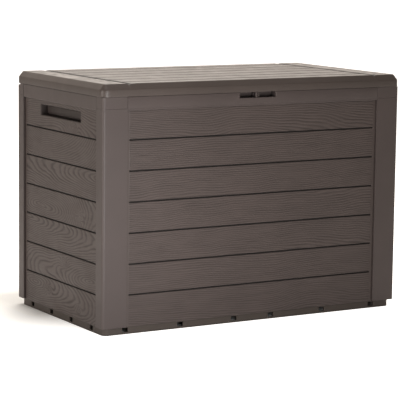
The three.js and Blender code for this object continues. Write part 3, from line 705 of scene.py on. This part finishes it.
def moulded_lid():
    """The lid in one moulding: a grid for its embossed top, then rings over its edge and up inside."""
    relief = SlatRelief()
    top, bottom = HIGH[2], node_box("lid")[0][2]
    profile = lid_profile(top, bottom)
    start = profile[0][0]
    radius = LID_RADIUS - LID_CHAMFER["in"] + start
    half_x, half_y = (HIGH[axis] - LID_CHAMFER["in"] + start for axis in (0, 1))
    straight = np.array([half_x - radius, half_y - radius])  # where the rounded corners begin
    corner = straight[0] + radius * np.sin(np.radians([0, 20, 40, 60, 75, 90]))
    middle = spread(-corner[0], corner[0], LID_GRID["x"], fine=[-SLAT_END, SLAT_END], fine_step=0.6)
    xs = np.concatenate([-corner[:0:-1], middle, corner[1:]])
    ys = spread(-half_y, half_y, LID_GRID["y"], fine=SLAT_GROOVES, fine_step=0.5)

    x, y = np.meshgrid(xs, ys, indexing="ij")
    past = np.clip(np.abs(x) - straight[0], 0, radius)
    edge = straight[1] + np.sqrt(np.maximum(radius ** 2 - past ** 2, 0))
    keep = half_y - 16  # rows beyond this close up towards the rounded corners
    beyond = np.abs(y) > keep
    y = np.where(beyond, np.sign(y) * (keep + (np.abs(y) - keep) * (edge - keep) / (half_y - keep)), y)
    grid = np.stack([x, y, top - relief(x, y)], axis=-1)
    rows, columns = x.shape
    index = np.arange(rows * columns).reshape(rows, columns)
    quads = np.stack([index[:-1, :-1], index[1:, :-1], index[1:, 1:], index[:-1, 1:]], axis=-1)
    faces = quads.reshape(-1, 4).tolist()

    rim = np.concatenate([index[:, 0], index[-1, 1:], index[-2::-1, -1], index[0, -2:0:-1]])
    edge_points = grid.reshape(-1, 3)[rim]
    flat = edge_points[:, :2]
    outward = np.where(np.abs(flat) > straight, flat - np.sign(flat) * straight, 0)
    outward /= np.linalg.norm(outward, axis=1, keepdims=True)
    vertices = [grid.reshape(-1, 3)]
    count, ring = len(rim), rim
    total = len(vertices[0])
    deepest = top - 2.5  # the grooves run out over the edge, and no ring above this lies over them
    for grow, z in profile[1:]:
        loop = np.empty((count, 3))
        loop[:, :2] = flat + outward * (grow - start)
        loop[:, 2] = np.minimum(z, edge_points[:, 2]) if z > deepest else z
        following = np.arange(total, total + count)
        after = np.roll(following, -1)
        faces += np.stack([ring, following, after, np.roll(ring, -1)], axis=-1).tolist()
        vertices.append(loop)
        ring = following
        total += count
    faces.append(ring[::-1].tolist())
    made = add_object("lid_moulding", np.concatenate(vertices), faces)
    fix_outward(made)
    paint(made, "relief", relief.height(x, y), PLAIN)
    # the grooves and the strips beside them get painted shade and are rougher
    paint(made, "groove", relief.dull_and_shaded(x, y), 0)
    combine(made, *lid_inside(top - LID_TOP_WALL))
    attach(made, "lid")
    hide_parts("lid")
    dress(made, LID_RESIN)


LID_RIBS = {"x": LID_RIB["pitch_x"] * np.arange(-2, 3), "y": LID_RIB["pitch_y"] * np.arange(-1, 2)}
BOSS = {"radius": 5.5, "hole": 2, "gap": 0.3}  # a boss stops this gap above its hinge leaf
HINGE_CUT = {"bottom": 500, "beside": 2.8, "above": 3}  # the opening in the lid's rear wall


def lid_inside(ceiling):
    """Ribs, screw bosses and the hinge cut-outs, as steps that join or cut."""
    thick, low, high = LID_RIB["thick"] / 2, ceiling - LID_RIB["deep"], ceiling + OVERLAP
    in_x, in_y = HIGH[0] - LID_WALL, HIGH[1] - LID_WALL
    bars = [tool_box((x - thick, -in_y, low), (x + thick, in_y, high)) for x in LID_RIBS["x"]]
    bars += [tool_box((-in_x, y - thick, low), (in_x, y + thick, high)) for y in LID_RIBS["y"]]
    ribs = join(bars)

    # The ribs end inside the walls and the chamfer, whose shape this solid has.
    upright = (1, LID_RADIUS - 1)  # inset and corner radius of the walls, then of the chamfer's upper edge
    sloped = (LID_CHAMFER["in"] + 0.4, LID_RADIUS - LID_CHAMFER["in"] - 0.4)
    loops = []
    for z, (inset, radius) in ((low - 5, upright), (low + 1.5, upright), (high + 1.5, sloped)):
        flat = rounded_rectangle(HIGH[0] - inset, HIGH[1] - inset, radius)
        loops.append(np.column_stack([flat, np.full(len(flat), z)]))
    combine(ribs, ("INTERSECT", loft("tool", loops)))

    added, cut = [ribs], []
    cut_top = node_box("hinge_body_leaf_left")[1][2] + HINGE_CUT["above"]
    for side in ("left", "right"):
        leaf_low, leaf_high = node_box(f"hinge_lid_leaf_{side}")
        base = leaf_high[2] + BOSS["gap"]
        for end in ("inner", "outer"):
            screw_low, screw_high = node_box(f"lid_screw_{side}_{end}")
            x, y = (screw_low + screw_high)[:2] / 2
            added.append(tool_bar(BOSS["radius"], (x, y, base), (x, y, high), 32))
            cut.append(tool_bar(BOSS["hole"], (x, y, base - OVERLAP), (x, y, screw_high[2] + 2)))
        cut.append(tool_box(
            (leaf_low[0] - HINGE_CUT["beside"], HIGH[1] - LID_WALL - OVERLAP, HINGE_CUT["bottom"]),
            (leaf_high[0] + HINGE_CUT["beside"], HIGH[1] + OVERLAP, cut_top),
        ))
    return ("UNION", join(added)), ("DIFFERENCE", join(cut))


moulded_lid()

# ---------------------------------------------------------------- front rail

RAIL = {"wall": 4, "skin": 3, "step": 1, "lip": 4}  # the lip's face lies a step behind the rail's
RAIL_BEND = {"top": 1, "edge": 0.6}
POCKET = {"left": -46, "right": 49, "bottom": 509.5, "high": 20, "deep": 19.3}
POCKET |= {"wall": 2.5, "corner": 0.8, "lip": 0.9}
POCKET_HOUSING = {"behind_face": 1.2, "below_top": 0.5, "before_back": 0.02}


def rail_section(face, back, bottom, top):
    """The rail's outline across its length, as (y, z): a channel open below, with a lip along its front."""
    wall, skin, step = RAIL["wall"], RAIL["skin"], RAIL["step"]
    shelf = bottom + RAIL["lip"]
    soft = RAIL_BEND["top"]
    section = bend((face, top - soft), (face, top), (face + soft, top), 3)
    section += [[back, top], [back, shelf], [back - skin, shelf], [back - skin, top - skin]]
    section += [[face + wall, top - skin], [face + wall, bottom]]
    soft = RAIL_BEND["edge"]
    section += bend((face + step + soft, bottom), (face + step, bottom), (face + step, bottom + soft), 3)
    section += [[face + step, shelf - 0.1]]
    return section + bend((face + soft, shelf), (face, shelf), (face, shelf + soft), 3)


def pocket_hollow(face):
    """The space inside the latch pocket, with a rounded lip where it meets the rail's face."""
    lip, half_high = POCKET["lip"], POCKET["high"] / 2
    middle, half = (POCKET["left"] + POCKET["right"]) / 2, (POCKET["right"] - POCKET["left"]) / 2

    def ring(grow, y):
        flat = rounded_rectangle(half + grow, half_high + grow, POCKET["corner"] + grow, 3)
        across, up = flat[:, 0] + middle, flat[:, 1] + POCKET["bottom"] + half_high
        return np.column_stack([across, np.full(len(flat), y), up])

    loops = [ring(lip + 0.3, face - OVERLAP)]
    for turn in QUARTER_TURN:
        loops.append(ring(lip * (1 - math.sin(turn)), face + 0.1 + lip * (1 - math.cos(turn))))
    loops.append(ring(0, face + POCKET["deep"]))
    hollow = loft("tool", loops)
    fix_outward(hollow)
    return hollow


def front_rail():
    """The whole front rail in one moulding, with the latch pocket in its upper edge."""
    low, high = node_box("front_rail_left")
    right_end = node_box("front_rail_right")[1][0]
    face, back, bottom, top = low[1], high[1], low[2], high[2]
    section = rail_section(face, back, bottom, top)
    rail = loft("front_rail_moulding", [[[x, y, z] for y, z in section] for x in (low[0], right_end)])
    fix_outward(rail)
    wall, inset = POCKET["wall"], POCKET_HOUSING
    housing = tool_box(
        (POCKET["left"] - wall, face + inset["behind_face"], POCKET["bottom"] - wall),
        (POCKET["right"] + wall, back - inset["before_back"], top - inset["below_top"]),
    )
    combine(rail, ("UNION", housing), ("DIFFERENCE", pocket_hollow(face)))
    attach(rail, "box")
    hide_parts("front_rail_left", "front_rail_right", "latch_pocket")
    dress(rail, FRAME_RESIN)


front_rail()
REPLACED = {*panels, "lid", "front_rail_left", "front_rail_right", "latch_pocket"}

# ---------------------------------------------------------------- screws

SCREW = {"shank": 1.6, "root": 1.25, "pitch": 1.4, "head": 1.5, "point": 2, "tip": 0.2}
SCREW_HEAD = [(0.4, 0), (0.75, 0.12), (0.94, 0.45), (1, 0.95)]  # (part of its radius, mm from its top)
RECESS = {"half_long": 2.1, "half_wide": 0.5, "deep": 1.1}


def screw(name):
    """A pan-head screw with a cross recess and a thread, where a CAD screw is."""
    low, high = node_box(name)
    x, y, z = (low + high) / 2
    upright = name.startswith("lid")
    head = (high[0] - low[0]) / 2
    root, pitch = SCREW["root"], SCREW["pitch"]

    def at(across, aside, along):
        if upright:
            return x + across, y + aside, low[2] + along
        return x + across, high[1] - along, z + aside

    length = high[2] - low[2] if upright else high[1] - low[1]
    profile = [(part * head, along) for part, along in SCREW_HEAD] + [(head, SCREW["head"])]
    for ridge in np.arange(SCREW["head"], length - SCREW["point"], pitch):
        profile += [(root, ridge), (SCREW["shank"], ridge + pitch / 2)]
    profile += [(root, length - SCREW["point"]), (SCREW["tip"], length)]
    turns = np.linspace(0, 2 * math.pi, 32, endpoint=False)
    loops = []
    for radius, along in profile:
        loops.append([at(radius * math.cos(turn), radius * math.sin(turn), along) for turn in turns])
    made = loft(name + "_turned", loops)
    fix_outward(made)
    long, wide = RECESS["half_long"], RECESS["half_wide"]
    for a, b in ((long, wide), (wide, long)):
        corners = np.array([at(-a, -b, -OVERLAP), at(a, b, RECESS["deep"])])
        combine(made, ("DIFFERENCE", tool_box(*corners)))
    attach(made, "lid" if upright else "box")
    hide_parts(name)
    dress(made, SCREW_STEEL)


screws = [name for name in nodes if "screw" in name]
for name in screws:
    screw(name)
REPLACED |= set(screws)

# ---------------------------------------------------------------- CAD nodes that stay


def soften(node, width, segments=3):
    """Rounds a CAD node's sharp edges with modifiers."""
    weld = node.modifiers.new("weld", "WELD")
    weld.merge_threshold = 0.02 * MM
    bevel = node.modifiers.new("round", "BEVEL")
    bevel.width = width * MM
    bevel.segments = segments
    bevel.limit_method = "ANGLE"
    bevel.angle_limit = math.radians(35)
    bevel.harden_normals = True
    bevel.use_clamp_overlap = True


STAYS = {  # material and rounding in mm, by the first of these that a node's name contains
    "hinge_pin": (PIN_STEEL, 0.3),
    "hinge": (HINGE_RESIN, 0.4),
    "base_tray": (BASE_RESIN, 0.8),
    "corner": (FRAME_RESIN, 1.4),
    "rail": (FRAME_RESIN, 1.1),
    "lid": (LID_RESIN, 0.8),
}
for name, node in nodes.items():
    if name not in REPLACED:
        material, width = next(STAYS[part] for part in STAYS if part in name)
        dress(node, material)
        soften(node, width)

# ---------------------------------------------------------------- stage, light, camera (metres)

FLOOR_HALF = 30
FLOOR_COLOUR = (0.86, 0.85, 0.83, 1)
FLOOR_GLOW = (1.0, 0.985, 0.96, 1)
SHADE = {  # a soft shade on the floor, round a rectangle that is dimmest
    "centre": (-0.08, 0.2),
    "half": (0.32, 0.12),
    "reach": 0.26,
    "dimmest": 0.05,
    "bounce": 0.2,  # the part of the floor's glow that lights the object
    "under": tuple((HIGH[:2] - 12) * MM),  # no glow inside this, under the base
}
AMBIENT = 0.06
OVERHEAD = 0.4
REAR_GLOW = 1.75
REAR = {"X": 0.48, "Y": 0.88}  # towards the middle of the rear glow
WARM = (1.0, 0.9, 0.8, 1)
WHITE = (1, 1, 1, 1)
LAMP = (1.0, 0.96, 0.9)
WINDOW = (1.0, 0.95, 0.9)
CENTRE = (0.0, 0.0, 0.3)
LEFT = (-0.4, -0.05, 0.3)
SOFTBOXES = {
    "key": {"place": (0.3, 1.5, 2.8), "aim": CENTRE, "size": (1.6, 1.6), "watts": 58, "colour": LAMP},
    "top": {"place": (0.0, -0.1, 3.0), "aim": CENTRE, "size": (1.0, 0.8), "watts": 20},
    "front": {"place": (-0.42, -1.0, 0.28), "aim": (-0.42, 0.0, 0.28), "size": (0.4, 0.5), "watts": 5.9},
    "left": {"place": (-5.4, -0.6, 0.55), "aim": LEFT, "size": (0.7, 0.9), "watts": 92, "colour": WINDOW},
}
CAMERA = {
    "azimuth": -30.374,
    "elevation": 8.091,
    "roll": 0.675,
    "target": (-0.0260, -0.0107, 0.2531),
    "distance": 4.4686,
    "lens": 172.0,
    "sensor": 36,
    "clip_end": 100,
}


def pale_floor():
    """A wide pale floor that reads as white, with a soft shade beside and behind the object."""
    mesh = bpy.data.meshes.new("floor")
    corners = [(x * FLOOR_HALF, y * FLOOR_HALF, 0) for x, y in ((-1, -1), (1, -1), (1, 1), (-1, 1))]
    mesh.from_pydata(corners, [], [(0, 1, 2, 3)])
    made = bpy.data.objects.new("floor", mesh)
    bpy.context.scene.collection.objects.link(made)
    material, tree, shader = new_material("pale_floor")
    n = Nodes(tree)
    place = n.add("TexCoord").outputs["Object"]
    apart = n.add("SeparateXYZ")
    n.set(apart.inputs[0], place)

    def past(centre, half):
        """How far a place is outside a rectangle, along each axis."""
        distances = []
        for axis, middle, reach in zip("XY", centre, half):
            distance = n.math("ABSOLUTE", n.math("SUBTRACT", apart.outputs[axis], middle), 0)
            distances.append(n.math("MAXIMUM", n.math("SUBTRACT", distance, reach), 0))
        return distances

    shade = past(SHADE["centre"], SHADE["half"])
    away = n.math("SQRT", n.math("ADD", n.math("POWER", shade[0], 2), n.math("POWER", shade[1], 2)), 0)
    glow = n.ramp(away, 0.0, SHADE["reach"], SHADE["dimmest"], 1.0)
    outside = n.math("GREATER_THAN", n.math("ADD", *past((0, 0), SHADE["under"])), 0)
    seen = n.add("LightPath").outputs["Is Camera Ray"]
    shown = n.ramp(seen, 0, 1, SHADE["bounce"], 1.0)
    strength = n.math("MULTIPLY", n.math("MULTIPLY", glow, outside), shown)
    n.set(shader.inputs["Emission Strength"], strength)
    shader.inputs["Base Color"].default_value = FLOOR_COLOUR
    shader.inputs["Roughness"].default_value = 0.95
    shader.inputs["Specular IOR Level"].default_value = 0.05
    shader.inputs["Emission Color"].default_value = FLOOR_GLOW
    mesh.materials.append(material)


def studio_world():
    """Dim, even, warm light, brighter low down behind the object, and plain white where it is looked at."""
    world = bpy.data.worlds.new("studio")
    bpy.context.scene.world = world
    world.use_nodes = True
    tree = world.node_tree
    n = Nodes(tree)
    direction = n.add("TexCoord").outputs["Generated"]
    apart = n.add("SeparateXYZ")
    n.set(apart.inputs[0], direction)
    x, y, z = (apart.outputs[axis] for axis in "XYZ")
    rear = n.math("ADD", n.math("MULTIPLY", y, REAR["Y"]), n.math("MULTIPLY", x, REAR["X"]))
    low = n.ramp(z, 0.3, 0.8, 1.0, 0.0)
    glow = n.math("MULTIPLY", n.ramp(rear, 0.45, 0.95, 0.0, REAR_GLOW), low)
    seen = n.add("LightPath").outputs["Is Camera Ray"]
    overhead = n.ramp(z, 0.2, 0.9, AMBIENT, OVERHEAD)
    strength = n.math("MAXIMUM", n.math("ADD", glow, overhead), seen)
    background = tree.nodes["Background"]
    n.set(background.inputs["Color"], n.mix(seen, WARM, WHITE))
    n.set(background.inputs["Strength"], strength)


def softbox(name, place, aim, size, watts, colour=(1, 1, 1)):
    """A rectangular light that isn't seen itself."""
    lamp = bpy.data.lights.new(name, "AREA")
    lamp.shape = "RECTANGLE"
    lamp.size, lamp.size_y = size
    lamp.energy = watts
    lamp.color = colour
    made = bpy.data.objects.new(name, lamp)
    made.location = place
    made.visible_camera = False
    made.rotation_euler = (Vector(aim) - Vector(place)).to_track_quat("-Z", "Y").to_euler()
    bpy.context.scene.collection.objects.link(made)


def camera():
    """Level with the lid from the front left, from far off, as the object is seen."""
    azimuth, elevation, roll = (math.radians(CAMERA[angle]) for angle in ("azimuth", "elevation", "roll"))
    back = Vector((
        math.sin(azimuth) * math.cos(elevation),
        -math.cos(azimuth) * math.cos(elevation),
        math.sin(elevation),
    ))
    right = (-back).cross(Vector((0, 0, 1))).normalized()
    up = right.cross(-back)
    across = right * math.cos(roll) + up * math.sin(roll)
    upward = up * math.cos(roll) - right * math.sin(roll)
    data = bpy.data.cameras.new("camera")
    data.sensor_width = CAMERA["sensor"]
    data.lens = CAMERA["lens"]
    data.clip_end = CAMERA["clip_end"]
    made = bpy.data.objects.new("camera", data)
    turn = Matrix((across, upward, back)).transposed().to_4x4()
    made.matrix_world = Matrix.Translation(Vector(CAMERA["target"]) + back * CAMERA["distance"]) @ turn
    bpy.context.scene.collection.objects.link(made)
    bpy.context.scene.camera = made


pale_floor()
studio_world()
for name, settings in SOFTBOXES.items():
    softbox(name, **settings)
camera()
bpy.context.scene.view_settings.view_transform = "Standard"
